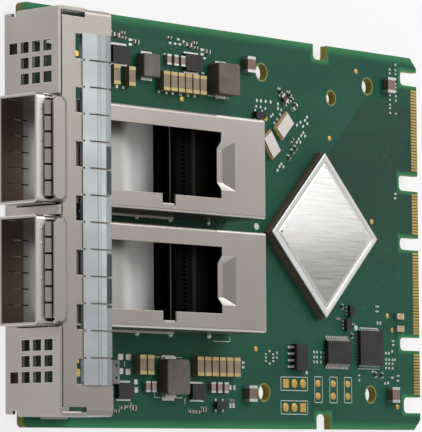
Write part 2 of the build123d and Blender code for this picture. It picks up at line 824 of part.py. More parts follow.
# Inductors: a pressed core with a terminal on two sides
for number, (place_x, place_y, length, width, height, corner) in enumerate(inductor_places, start=1):
    with BuildPart() as inductor_core:
        with BuildSketch(level(place_x, place_y)):
            RectangleRounded(length, width, corner)
        extrude(amount=height)
        chamfer(faces().sort_by(Axis.Z)[-1].edges(), inductor_bevel)
    inductor_core.part.label = f"inductor_{number}_core"
    export_step(inductor_core.part, f"parts/inductor_{number}_core.step")

    with BuildPart() as inductor_terminals:
        with BuildSketch(level(place_x, place_y)):
            with GridLocations(1, width + inductor_terminal_width, 1, 2):
                Rectangle(inductor_terminal_length, inductor_terminal_width)
        extrude(amount=inductor_terminal_height)
    inductor_terminals.part.label = f"inductor_{number}_terminals"
    export_step(inductor_terminals.part, f"parts/inductor_{number}_terminals.step")


# Chip capacitors: a ceramic middle between two metal end caps
capacitor_kinds = [
    ("tan", tan_capacitor, tan_capacitor_rows),
    ("small", small_capacitor, small_capacitor_rows),
    ("brown", brown_capacitor, brown_capacitor_rows),
]
for kind, (length, width, height), rows in capacitor_kinds:
    cap_width = cap_share * width
    with BuildPart() as capacitor_bodies:
        for row_x, row_y, pitch, count in rows:
            with BuildSketch(level(row_x, row_y, cap_rim)):
                with GridLocations(pitch, 1, count, 1):
                    Rectangle(length - 2 * cap_rim, width - 2 * cap_width)
            extrude(amount=height - 2 * cap_rim)
    capacitor_bodies.part.label = f"{kind}_capacitor_bodies"
    export_step(capacitor_bodies.part, f"parts/{kind}_capacitor_bodies.step")

    with BuildPart() as capacitor_caps:
        for row_x, row_y, pitch, count in rows:
            with BuildSketch(level(row_x, row_y)):
                with GridLocations(pitch, width - cap_width, count, 2):
                    Rectangle(length, cap_width)
            extrude(amount=height)
    capacitor_caps.part.label = f"{kind}_capacitor_end_caps"
    export_step(capacitor_caps.part, f"parts/{kind}_capacitor_end_caps.step")


def gull_wing(start, bend_level, reach):
    """Sketch one lead: out of the body, down, and along the board."""
    with BuildLine() as lead_line:
        Polyline(
            (start, bend_level),
            (start + lead_shoulder, bend_level),
            (start + lead_foot_start, lead_sheet / 2),
            (start + reach, lead_sheet / 2),
        )
    trace(lead_line.line, line_width=lead_sheet)


# Memory chip
with BuildPart() as memory_chip_body:
    with BuildSketch(level(memory_x, memory_y, body_standoff)):
        Rectangle(memory_length, memory_width)
    extrude(amount=memory_height - body_standoff)
    chamfer(edges().filter_by(Axis.Y).group_by(Axis.Z)[-1], 2 * body_standoff)
memory_chip_body.part.label = "memory_chip_body"
export_step(memory_chip_body.part, "parts/memory_chip_body.step")

with BuildPart() as memory_lead:
    with BuildSketch(along(memory_y)):
        gull_wing(memory_x + memory_length / 2, lead_level, lead_reach)
    extrude(amount=lead_width / 2, both=True)
    mirror(about=Plane.YZ.offset(board_front + memory_x))

with BuildPart() as memory_chip_leads:
    with GridLocations(1, memory_pitch, 1, memory_ways):
        add(memory_lead.part)
memory_chip_leads.part.label = "memory_chip_leads"
export_step(memory_chip_leads.part, "parts/memory_chip_leads.step")

# Logic chip
with BuildPart() as logic_chip_body:
    with BuildSketch(level(logic_x, logic_y, body_standoff)):
        Rectangle(logic_length, logic_width)
    extrude(amount=logic_height - body_standoff)
logic_chip_body.part.label = "logic_chip_body"
export_step(logic_chip_body.part, "parts/logic_chip_body.step")

with BuildPart() as logic_lead:
    with BuildSketch(across(logic_x)):
        gull_wing(logic_y + logic_width / 2, logic_lead_level, logic_lead_reach)
    extrude(amount=logic_lead_width / 2, both=True)
    mirror(about=Plane.XZ.offset(-logic_y))

with BuildPart() as logic_chip_leads:
    with GridLocations(logic_pitch, 1, logic_ways, 1):
        add(logic_lead.part)
logic_chip_leads.part.label = "logic_chip_leads"
export_step(logic_chip_leads.part, "parts/logic_chip_leads.step")

# Controller chip
with BuildPart() as controller_chip_body:
    with BuildSketch(level(controller_x, controller_y)):
        Rectangle(controller_length, controller_width)
    extrude(amount=controller_height)
controller_chip_body.part.label = "controller_chip_body"
export_step(controller_chip_body.part, "parts/controller_chip_body.step")

with BuildPart() as controller_chip_pads:
    with BuildSketch(level(controller_x, controller_y)):
        with GridLocations(
            controller_length + controller_pad_length, controller_pad_pitch, 2, controller_pads_short
        ):
            Rectangle(controller_pad_length, controller_pad_width)
        with GridLocations(
            controller_pad_pitch, controller_width + controller_pad_length, controller_pads_long, 2
        ):
            Rectangle(controller_pad_width, controller_pad_length)
    extrude(amount=pad_thickness)
controller_chip_pads.part.label = "controller_chip_pads"
export_step(controller_chip_pads.part, "parts/controller_chip_pads.step")

# Clock oscillators
for number, (place_x, place_y, angle) in enumerate(oscillator_places, start=1):
    seat = level(place_x, place_y).rotated((0, 0, angle))
    with BuildPart() as oscillator_base:
        with BuildSketch(seat):
            Rectangle(oscillator_length, oscillator_width)
        extrude(amount=oscillator_base_height)
    oscillator_base.part.label = f"oscillator_{number}_base"
    export_step(oscillator_base.part, f"parts/oscillator_{number}_base.step")

    with BuildPart() as oscillator_lid:
        with BuildSketch(seat.offset(oscillator_base_height)):
            Rectangle(
                oscillator_length - 2 * oscillator_lid_margin,
                oscillator_width - 2 * oscillator_lid_margin,
            )
        extrude(amount=oscillator_lid_height)
    oscillator_lid.part.label = f"oscillator_{number}_lid"
    export_step(oscillator_lid.part, f"parts/oscillator_{number}_lid.step")

# Small transistors
with BuildPart() as transistor_bodies:
    for place_x, place_y, length, width in transistor_places:
        with BuildSketch(level(place_x, place_y, body_standoff)):
            Rectangle(length, width)
        extrude(amount=transistor_height - body_standoff)
transistor_bodies.part.label = "transistor_bodies"
export_step(transistor_bodies.part, "parts/transistor_bodies.step")

with BuildPart() as transistor_leads:
    for place_x, place_y, length, width in transistor_places:
        long_side = max(length, width)
        with BuildSketch(level(place_x, place_y)):
            if length > width:
                with GridLocations(long_side - 2 * transistor_lead_width, width + transistor_lead_length, 2, 2):
                    Rectangle(transistor_lead_width, transistor_lead_length)
            else:
                with GridLocations(length + transistor_lead_length, transistor_lead_pitch, 2, 3):
                    Rectangle(transistor_lead_length, transistor_lead_width)
        extrude(amount=lead_sheet)
transistor_leads.part.label = "transistor_leads"
export_step(transistor_leads.part, "parts/transistor_leads.step")

# Indicator lamps
lamp_row = vent_row_center + vent_pitch
with BuildPart() as indicator_lamps:
    with BuildSketch(level(0, 0, lamp_bottom)):
        with GridLocations(1, 2 * lamp_row, 1, 2):
            Rectangle(2 * lamp_length, lamp_width)
        with Locations((lamp_length, 0)):
            Rectangle(2 * lamp_length, board_width, mode=Mode.SUBTRACT)
    extrude(amount=lamp_top - lamp_bottom)
indicator_lamps.part.label = "indicator_lamps"
export_step(indicator_lamps.part, "parts/indicator_lamps.step")

# Fuses
fuse_cap = cap_share * fuse_length
with BuildPart() as fuse_bodies:
    for place_x, place_y in fuse_places:
        with BuildSketch(level(place_x, place_y)):
            Rectangle(fuse_length - 2 * fuse_cap, fuse_width)
        extrude(amount=fuse_height - cap_rim)
fuse_bodies.part.label = "fuse_bodies"
export_step(fuse_bodies.part, "parts/fuse_bodies.step")

with BuildPart() as fuse_end_caps:
    for place_x, place_y in fuse_places:
        with BuildSketch(level(place_x, place_y)):
            with GridLocations(fuse_length - fuse_cap, 1, 2, 1):
                Rectangle(fuse_cap, fuse_width)
        extrude(amount=fuse_height)
fuse_end_caps.part.label = "fuse_end_caps"
export_step(fuse_end_caps.part, "parts/fuse_end_caps.step")

# Gold pads of the jumpers and test points
with BuildPart() as option_pads:
    for place_x, place_y, count, pitch in header_pad_places:
        with BuildSketch(level(place_x, place_y)):
            with GridLocations(pitch, 1, count, 1):
                Rectangle(header_pad_length, header_pad_width)
            chamfer(vertices(), header_pad_corner)
        extrude(amount=gold_thickness)
    for place_x in jumper_pad_x:
        with BuildSketch(level(place_x, jumper_pad_y)):
            with GridLocations(1, jumper_pad_pitch, 1, 2):
                RegularPolygon(jumper_pad_diameter / 2, 8)
        extrude(amount=gold_thickness)
option_pads.part.label = "option_pads"
export_step(option_pads.part, "parts/option_pads.step")

with BuildPart() as test_pads:
    for place_x, place_y in test_pad_places:
        with BuildSketch(level(place_x, place_y)):
            RegularPolygon(test_pad_diameter / 2, 8)
        extrude(amount=gold_thickness)
test_pads.part.label = "test_pads"
export_step(test_pads.part, "parts/test_pads.step")
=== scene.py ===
import math

import bmesh
import bpy
from mathutils import Matrix, Vector


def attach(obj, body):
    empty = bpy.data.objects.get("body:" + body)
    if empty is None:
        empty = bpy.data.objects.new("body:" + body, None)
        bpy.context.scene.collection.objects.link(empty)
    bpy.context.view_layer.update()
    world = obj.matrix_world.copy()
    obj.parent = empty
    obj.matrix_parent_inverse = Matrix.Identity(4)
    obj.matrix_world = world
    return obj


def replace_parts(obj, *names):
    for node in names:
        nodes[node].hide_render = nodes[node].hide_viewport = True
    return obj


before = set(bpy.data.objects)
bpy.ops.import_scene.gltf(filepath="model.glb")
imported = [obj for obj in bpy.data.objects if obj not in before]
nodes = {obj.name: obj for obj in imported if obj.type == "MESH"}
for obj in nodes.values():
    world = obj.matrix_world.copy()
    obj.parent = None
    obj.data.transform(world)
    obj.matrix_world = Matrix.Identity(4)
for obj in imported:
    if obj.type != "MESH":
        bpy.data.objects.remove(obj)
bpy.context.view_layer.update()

# The card's own places are in millimetres: length from the board's front edge,
# width from its middle and height from its top face
BOARD_FRONT = -54.35
BOARD_TOP = 2.9
BOARD_LENGTH = 115.0
BOARD_HALF_WIDTH = 38.0
BOARD_THICKNESS = 1.6
PORT_CENTERS = (10.7, -10.7)
CAGE_HALF_WIDTH = 9.45
LID_CENTER = 82.4
LID_TURN = 45
# the board's notches: place, and half their length and width
NOTCHES = [
    (BOARD_LENGTH, 33.7, 5.7, 1.45),
    (BOARD_LENGTH, 12.2, 6.5, 1.6),
    (BOARD_LENGTH, -0.2, 6.4, 1.25),
    (BOARD_LENGTH, -20.6, 6.7, 1.35),
    (BOARD_LENGTH, -33.0, 5.7, 1.6),
    (83.6, BOARD_HALF_WIDTH, 2.1, 3.0),
    (83.6, -BOARD_HALF_WIDTH, 2.1, 3.0),
]
# how far small pieces reach into the board that they stand on
SINK = 0.02


def place(x, y, z=0.0):
    """A point of the card, in metres."""
    return Vector(((BOARD_FRONT + x) / 1000, y / 1000, (BOARD_TOP + z) / 1000))


# Node materials


def linear(rgb):
    """A colour written as 0 to 255, made linear."""
    out = []
    for value in rgb:
        c = value / 255
        out.append(c / 12.92 if c <= 0.04045 else ((c + 0.055) / 1.055) ** 2.4)
    return (out[0], out[1], out[2], 1.0)


class Nodes:
    """A short way to write a node material."""

    def __init__(self, name):
        self.material = bpy.data.materials.new(name)
        self.material.use_nodes = True
        self.tree = self.material.node_tree
        self.shader = self.tree.nodes["Principled BSDF"]

    def add(self, kind, **values):
        node = self.tree.nodes.new(kind)
        for key, value in values.items():
            setattr(node, key, value)
        return node

    def link(self, start, end):
        self.tree.links.new(start, end)

    def put(self, node, socket, value):
        if hasattr(value, "is_output"):
            self.link(value, node.inputs[socket])
        else:
            node.inputs[socket].default_value = value

    def coords(self, scale=(1, 1, 1), rotation=(0, 0, 0), location=(0, 0, 0)):
        source = self.add("ShaderNodeTexCoord")
        mapping = self.add("ShaderNodeMapping")
        mapping.inputs["Scale"].default_value = scale
        mapping.inputs["Rotation"].default_value = rotation
        mapping.inputs["Location"].default_value = location
        self.link(source.outputs["Object"], mapping.inputs["Vector"])
        return mapping.outputs["Vector"]

    def card(self):
        """The card's own places, in millimetres, as three outputs."""
        split = self.add("ShaderNodeSeparateXYZ")
        spot = self.coords((1000, 1000, 1000), location=(-BOARD_FRONT, 0, -BOARD_TOP))
        self.link(spot, split.inputs["Vector"])
        return split.outputs["X"], split.outputs["Y"], split.outputs["Z"]

    def noise(self, scale, detail=3.0, stretch=(1, 1, 1), roughness=0.5):
        node = self.add("ShaderNodeTexNoise")
        node.inputs["Scale"].default_value = scale
        node.inputs["Detail"].default_value = detail
        node.inputs["Roughness"].default_value = roughness
        self.link(self.coords(stretch), node.inputs["Vector"])
        return node.outputs["Fac"]

    def ramp(self, fac, stops):
        node = self.add("ShaderNodeValToRGB")
        ramp = node.color_ramp
        while len(ramp.elements) < len(stops):
            ramp.elements.new(0.5)
        for element, (position, color) in zip(ramp.elements, stops):
            element.position = position
            element.color = color
        self.link(fac, node.inputs["Fac"])
        return node.outputs["Color"]

    def mix(self, fac, a, b, blend="MIX"):
        node = self.add("ShaderNodeMix", data_type="RGBA", blend_type=blend)
        for socket, value in ((0, fac), (6, a), (7, b)):
            self.put(node, socket, value)
        return node.outputs[2]

    def math(self, operation, a, b=0.0):
        node = self.add("ShaderNodeMath", operation=operation)
        for socket, value in ((0, a), (1, b)):
            self.put(node, socket, value)
        return node.outputs[0]

    def product(self, *factors):
        """The factors multiplied together."""
        out = factors[0]
        for factor in factors[1:]:
            out = self.math("MULTIPLY", out, factor)
        return out

    def fade(self, value, low, high, start=0.0, end=1.0):
        """A smooth step of a value from low to high."""
        node = self.add("ShaderNodeMapRange", interpolation_type="SMOOTHSTEP")
        self.link(value, node.inputs["Value"])
        node.inputs["From Min"].default_value = low
        node.inputs["From Max"].default_value = high
        node.inputs["To Min"].default_value = start
        node.inputs["To Max"].default_value = end
        return node.outputs["Result"]

    def edges(self, radius, low=0.02, high=0.25):
        """Where the surface turns within a radius: 1 on its edges and 0 on its flats."""
        rounded = self.add("ShaderNodeBevel", samples=6)
        rounded.inputs["Radius"].default_value = radius
        real = self.add("ShaderNodeNewGeometry")
        dot = self.add("ShaderNodeVectorMath", operation="DOT_PRODUCT")
        self.link(rounded.outputs["Normal"], dot.inputs[0])
        self.link(real.outputs["Normal"], dot.inputs[1])
        return self.fade(self.math("SUBTRACT", 1.0, dot.outputs["Value"]), low, high)

    def bump(self, height, strength=0.2, distance=0.00005, normal=None):
        node = self.add("ShaderNodeBump")
        node.inputs["Strength"].default_value = strength
        node.inputs["Distance"].default_value = distance
        self.link(height, node.inputs["Height"])
        if normal is not None:
            self.link(normal, node.inputs["Normal"])
        self.link(node.outputs["Normal"], self.shader.inputs["Normal"])

    def rounded(self, radius):
        """The normal of a surface whose edges are softened by a radius."""
        node = self.add("ShaderNodeBevel", samples=6)
        node.inputs["Radius"].default_value = radius
        return node.outputs["Normal"]


def tinted(name, dark, light, scale, metallic=0.0, roughness=(0.4, 0.5), bump=0.1, stretch=(1, 1, 1),
           grain=None, edge=None, edge_radius=0.00012, soft=None, specular=0.25):
    """A surface with slow colour variation, fine grain, a little bump and painted highlights on its edges."""
    m = Nodes(name)
    slow = m.noise(scale, 2.0, stretch)
    color = m.ramp(slow, [(0.3, linear(dark)), (0.7, linear(light))])
    # painted highlight: the edges take a lighter colour
    if edge is not None:
        color = m.mix(m.edges(edge_radius), color, linear(edge))
    m.link(color, m.shader.inputs["Base Color"])
    m.shader.inputs["Metallic"].default_value = metallic
    if metallic == 0.0:
        m.shader.inputs["Specular IOR Level"].default_value = specular
    fine = m.noise(grain or scale * 12, 4.0, stretch)
    rough = m.add("ShaderNodeMapRange")
    rough.inputs["To Min"].default_value = roughness[0]
    rough.inputs["To Max"].default_value = roughness[1]
    m.link(fine, rough.inputs["Value"])
    m.link(rough.outputs["Result"], m.shader.inputs["Roughness"])
    m.bump(fine, bump, normal=m.rounded(soft) if soft else None)
    return m


def dress(look, *names):
    for name in names:
        data = nodes[name].data
        data.materials.clear()
        data.materials.append(look.material)


def board_look():
    """Green solder mask over copper, with bare laminate on the walls."""
    m = Nodes("board_mask")
    x, y, _ = m.card()
    geometry = m.add("ShaderNodeNewGeometry")
    split = m.add("ShaderNodeSeparateXYZ")
    m.link(geometry.outputs["Normal"], split.inputs["Vector"])
    flat = m.math("GREATER_THAN", m.math("ABSOLUTE", split.outputs["Z"]), 0.9)
    cloud = m.noise(60, 3.0)
    mask = m.ramp(cloud, [(0.3, linear((30, 84, 66))), (0.7, linear((36, 92, 74)))])
    # copper planes under the mask: one with its corner cut at 45 degrees
    cut = m.fade(m.math("SUBTRACT", x, y), 69.2, 69.7)
    plane = m.product(cut, m.fade(y, 28.6, 27.4), m.fade(y, -16.0, 8.0))
    mask = m.mix(plane, mask, linear((42, 74, 62)))
    # thin copper lines in three directions, each in its own patches
    for turn, seed, pitch in ((0.0, 0.0, 0.55), (math.pi / 2, 7.0, 0.6), (math.pi / 4, 13.0, 0.5)):
        run = m.add("ShaderNodeSeparateXYZ")
        m.link(m.coords((1000, 1000, 1000), (0, 0, turn)), run.inputs["Vector"])
        wave = m.math("SINE", m.math("MULTIPLY", run.outputs["Y"], 2 * math.pi / pitch))
        patch = m.add("ShaderNodeTexNoise")
        patch.inputs["Scale"].default_value = 120
        patch.inputs["Detail"].default_value = 0.0
        m.link(m.coords((0.35, 1, 1), (0, 0, turn), (seed, seed, 0)), patch.inputs["Vector"])
        lines = m.product(m.fade(wave, 0.35, 0.7), m.fade(patch.outputs["Fac"], 0.56, 0.6))
        mask = m.mix(m.product(lines, 0.1), mask, linear((62, 128, 100)))
    # covered vias: tiny pale dots
    cells = m.add("ShaderNodeTexVoronoi")
    cells.inputs["Scale"].default_value = 420
    m.link(m.coords((1, 1, 0.001)), cells.inputs["Vector"])
    dots = m.product(m.fade(cells.outputs["Distance"], 0.14, 0.08), m.fade(cloud, 0.45, 0.6))
    mask = m.mix(m.product(dots, 0.35), mask, linear((86, 140, 112)))
    # the laminate without copper is a brighter green along the outer edges and round the notches
    side = m.math("ABSOLUTE", y)
    rim = m.fade(side, BOARD_HALF_WIDTH - 2.0, BOARD_HALF_WIDTH - 0.1)
    for at_x, at_y, half_x, half_y in NOTCHES:
        off_x = m.math("SUBTRACT", m.math("ABSOLUTE", m.math("SUBTRACT", x, at_x)), half_x)
        off_y = m.math("SUBTRACT", m.math("ABSOLUTE", m.math("SUBTRACT", y, at_y)), half_y)
        rim = m.math("MAXIMUM", rim, m.fade(m.math("MAXIMUM", off_x, off_y), 1.0, 0.1))
    mask = m.mix(m.product(rim, 0.85), mask, linear((62, 144, 88)))
    # shade under the bracket
    under = m.product(m.fade(x, 13.5, 11.0), m.fade(side, 36.2, 35.4))
    mask = m.mix(m.product(under, 0.6), mask, linear((30, 40, 32)))
    # the walls show the laminate's layers, greener along the front
    layers = m.noise(1500, 2.0, (0.1, 0.1, 1))
    wall = m.ramp(layers, [(0.3, linear((146, 132, 58))), (0.7, linear((178, 162, 86)))])
    wall = m.mix(m.product(m.fade(x, 1.2, 0.2), 0.6), wall, linear((112, 132, 66)))
    m.link(m.mix(flat, wall, mask), m.shader.inputs["Base Color"])
    weave = m.noise(900, 2.0, (1, 0.25, 1))
    m.shader.inputs["Roughness"].default_value = 0.42
    m.shader.inputs["Specular IOR Level"].default_value = 0.12
    m.bump(weave, 0.06)
    return m


def sheet_metal(name, dark, light, roughness, edge=(236, 232, 225), edge_radius=0.00016, soft=0.00012):
    """Plated sheet with a soft mill grain and painted highlights on its edges."""
    return tinted(name, dark, light, 40, 1.0, roughness, 0.03, grain=700, edge=edge,
                  edge_radius=edge_radius, soft=soft)


def recolor(look, share, tint):
    """Lays a tint over the colour of a material, by a share that may change over the surface."""
    color = look.shader.inputs["Base Color"].links[0].from_socket
    look.link(look.mix(share, color, linear(tint)), look.shader.inputs["Base Color"])


def banded(look, bands):
    """Tints a material between places along the card: start, end, blur, colour and share."""
    x, _, _ = look.card()
    for start, end, blur, tint, share in bands:
        after, before = look.fade(x, start - blur, start), look.fade(x, end + blur, end)
        recolor(look, look.product(after, before, share), tint)


def facing(look, way, low, high, tint, share, start=None):
    """Tints the faces that are turned a given way, from a place along the card if one is given."""
    geometry = look.add("ShaderNodeNewGeometry")
    dot = look.add("ShaderNodeVectorMath", operation="DOT_PRODUCT")
    look.link(geometry.outputs["True Normal"], dot.inputs[0])
    dot.inputs[1].default_value = Vector(way).normalized()
    amount = look.product(look.fade(dot.outputs["Value"], low, high), share)
    if start is not None:
        amount = look.product(amount, look.fade(look.card()[0], start - 0.5, start))
    recolor(look, amount, tint)


# Metals

bracket_metal = sheet_metal("bracket_metal", (174, 168, 161), (184, 178, 171), (0.34, 0.46),
                            (240, 237, 230), 0.0003, 0.00015)
cage_metal = sheet_metal("cage_metal", (160, 154, 148), (170, 164, 158), (0.30, 0.40))
collar_metal = sheet_metal("collar_metal", (204, 199, 191), (214, 209, 201), (0.26, 0.36))
screw_metal = sheet_metal("screw_metal", (160, 160, 160), (178, 178, 178), (0.3, 0.4))

# the cages' floors: painted shade, brown, in the mouth, then a painted highlight band, and painted light
# towards the connector, where the floors are also duller and less metallic
floor_metal = tinted("floor_metal", (172, 171, 168), (182, 181, 178), 60, 0.9, bump=0.01)
banded(floor_metal, [
    (-8.0, -0.7, 0.25, (166, 150, 130), 0.85),
    (-0.7, 3.2, 0.2, (236, 236, 234), 0.8),
    (27.0, 40.0, 3.0, (250, 250, 250), 0.9),
])
floor_x, _, _ = floor_metal.card()
for socket, start, end in (("Metallic", 0.9, 0.1), ("Roughness", 0.28, 0.7)):
    floor_metal.link(floor_metal.fade(floor_x, 24.0, 29.0, start, end), floor_metal.shader.inputs[socket])

# the spring fingers: painted shade and light in their bends, a painted reflection on their rolled ends, a
# painted shadow of their tips over the cages, and painted shade that dulls the upper end
strip_metal = tinted("strip_metal", (172, 177, 180), (206, 211, 214), 120, 1.0, (0.24, 0.34), 0.004,
                     (0.15, 1, 1), 300, (244, 246, 248), 0.00008)
banded(strip_metal, [
    (7.85, 8.0, 0.12, (120, 124, 128), 0.8),
    (8.0, 8.5, 0.1, (186, 190, 194), 0.8),
    (8.6, 8.7, 0.1, (132, 136, 140), 0.7),
    (10.3, 12.0, 0.3, (150, 158, 156), 0.9),
])
m = strip_metal
strip_x, strip_y, _ = m.card()
over_cages = [
    m.product(m.fade(strip_y, low - 0.2, low + 0.2), m.fade(strip_y, high + 0.2, high - 0.2))
    for low, high in ((3.2, 11.9), (-17.0, -7.3))
]
# painted shadow: the finger tips darken where they lie over the cages
tip_shadow = m.product(m.fade(strip_x, 10.15, 10.3), m.math("MAXIMUM", *over_cages), 0.85)
recolor(m, tip_shadow, (52, 52, 50))
# painted shade: the strip darkens towards its upper end
recolor(m, m.fade(strip_y, 16.0, 30.0, 0.0, 0.6), (130, 134, 136))

gold = tinted("gold", (206, 166, 84), (222, 184, 104), 200, 1.0, (0.30, 0.42), 0.05)
contact_gold = tinted("contact_gold", (184, 156, 92), (202, 174, 108), 200, 1.0, (0.32, 0.42), 0.05)
solder = tinted("solder", (190, 190, 187), (212, 212, 210), 400, 0.8, (0.35, 0.5), 0.08)
lead_metal = tinted("lead_metal", (206, 204, 200), (224, 222, 218), 300, 0.5, (0.35, 0.45), 0.05)
lid_metal = tinted("lid_metal", (214, 213, 211), (222, 221, 220), 160, 1.0, (0.30, 0.40), 0.02, grain=900)
crystal_lid = tinted("crystal_lid", (196, 190, 184), (208, 202, 196), 160, 1.0, (0.36, 0.46), 0.03, grain=900)

# Plastics and ceramics

connector_black = tinted("connector_black", (7, 7, 6), (11, 11, 10), 120, 0.0, (0.6, 0.7),
                         edge=(24, 24, 22), specular=0.03)
# painted highlight: a lighter band across the connectors' tops
banded(connector_black, [(38.6, 39.1, 0.9, (58, 56, 50), 0.6)])
substrate = tinted("substrate", (104, 88, 68), (122, 106, 84), 200, 0.0, (0.5, 0.62))
chip_black = tinted("chip_black", (46, 44, 45), (56, 54, 56), 300, 0.0, (0.45, 0.58), 0.15, edge=(84, 82, 84))
core_grey = tinted("core_grey", (112, 106, 98), (128, 121, 113), 500, 0.0, (0.5, 0.65), 0.2,
                   edge=(168, 160, 152))
core_brown = tinted("core_brown", (112, 98, 86), (130, 115, 102), 500, 0.0, (0.5, 0.65), 0.2,
                    edge=(150, 136, 122))
core_dark = tinted("core_dark", (100, 94, 88), (116, 109, 102), 500, 0.0, (0.5, 0.65), 0.2,
                   edge=(134, 127, 120))
tan_ceramic = tinted("tan_ceramic", (152, 134, 112), (168, 150, 126), 600, 0.0, (0.35, 0.5))
tan_cap_metal = tinted("tan_cap_metal", (188, 166, 112), (206, 186, 132), 600, 0.5, (0.4, 0.55))
pink_ceramic = tinted("pink_ceramic", (160, 140, 130), (176, 156, 146), 600, 0.0, (0.35, 0.5))
brown_ceramic = tinted("brown_ceramic", (132, 108, 98), (148, 124, 112), 600, 0.0, (0.35, 0.5))
chip_brown = tinted("chip_brown", (70, 52, 48), (100, 78, 72), 2500, 0.0, (0.4, 0.55))
beige_ceramic = tinted("beige_ceramic", (196, 168, 112), (214, 188, 134), 500, 0.0, (0.4, 0.5), 0.05)
lamp_plastic = tinted("lamp_plastic", (70, 60, 44), (92, 80, 58), 900, 0.0, (0.25, 0.35), 0.05)
ink = tinted("ink", (206, 214, 208), (224, 230, 225), 900, 0.0, (0.6, 0.7), 0.05)
hole_ring = tinted("hole_ring", (132, 140, 74), (160, 164, 96), 700, 0.0, (0.45, 0.6), 0.05)
grey_plastic = tinted("grey_plastic", (128, 128, 126), (146, 146, 144), 700, 0.0, (0.5, 0.6),
                      edge=(166, 166, 164))
dark_spot = tinted("dark_spot", (34, 32, 32), (44, 42, 42), 900, 0.0, (0.5, 0.6), 0.05)

# painted shade on the tops of the bracket; painted highlights on the cages' roundings and on the slopes of
# their stops
STOP_START = 42.0
facing(bracket_metal, (0, 0, 1), 0.9, 0.99, (140, 135, 128), 0.5)
facing(cage_metal, (0, -1, 1), 0.85, 0.95, (246, 243, 238), 0.9)
facing(cage_metal, (0, 1, 1), 0.85, 0.95, (246, 243, 238), 0.9, STOP_START)
facing(cage_metal, (-1, 0, 1), 0.8, 0.95, (168, 164, 158), 0.8, STOP_START)
# painted shade on the parts' sides towards the ports
for look in (core_grey, core_brown, core_dark, tan_ceramic, tan_cap_metal, brown_ceramic, chip_black,
             pink_ceramic):
    facing(look, (-1, 0, 0), 0.6, 0.9, (24, 20, 18), 0.55)

dress(board_look(), "circuit_board")
dress(bracket_metal, "front_bracket")
dress(strip_metal, "spring_finger_strip")
dress(screw_metal, "bracket_screws")
dress(contact_gold, "edge_contacts_top", "edge_contacts_bottom")
dress(gold, "option_pads", "test_pads")
for number in (1, 2):
    dress(cage_metal, f"port_{number}_cage_shell")
    dress(floor_metal, f"port_{number}_cage_base")
    dress(collar_metal, f"port_{number}_spring_collar")
    dress(connector_black, f"port_{number}_connector_body")
    dress(gold, f"port_{number}_connector_contacts")
dress(lid_metal, "processor_lid")
dress(crystal_lid, "oscillator_1_lid", "oscillator_2_lid")
dress(substrate, "processor_substrate")
dress(chip_black, "power_stage_1", "power_stage_2", "power_stage_3", "power_stage_4")
dress(chip_black, "memory_chip_body", "logic_chip_body", "controller_chip_body", "transistor_bodies")
dress(core_grey, "inductor_1_core")
dress(core_brown, "inductor_2_core")
dress(core_dark, "inductor_3_core")
dress(tan_ceramic, "tan_capacitor_bodies")
dress(tan_cap_metal, "tan_capacitor_end_caps")
dress(pink_ceramic, "small_capacitor_bodies")
dress(brown_ceramic, "brown_capacitor_bodies")
dress(beige_ceramic, "oscillator_1_base", "oscillator_2_base", "fuse_bodies")
dress(lamp_plastic, "indicator_lamps")
dress(lead_metal, "memory_chip_leads", "logic_chip_leads", "transistor_leads")
dress(solder, "small_capacitor_end_caps", "brown_capacitor_end_caps", "fuse_end_caps")
dress(solder, "power_stage_pads", "controller_chip_pads")
dress(solder, "inductor_1_terminals", "inductor_2_terminals", "inductor_3_terminals")


# Small pieces, gathered by their material


def rectangle(length, width, corner=0.0):
    """A rectangle's outline, with cut corners if a cut is given."""
    a, b, c = length / 2, width / 2, corner
    if c <= 0:
        return [(a, -b), (a, b), (-a, b), (-a, -b)]
    return [
        (a, c - b), (a, b - c), (a - c, b), (c - a, b),
        (-a, b - c), (-a, c - b), (c - a, -b), (a - c, -b),
    ]


def disc(radius, count=16, stretch=1.0):
    turns = [2 * math.pi * k / count for k in range(count)]
    return [(radius * stretch * math.cos(t), radius * math.sin(t)) for t in turns]


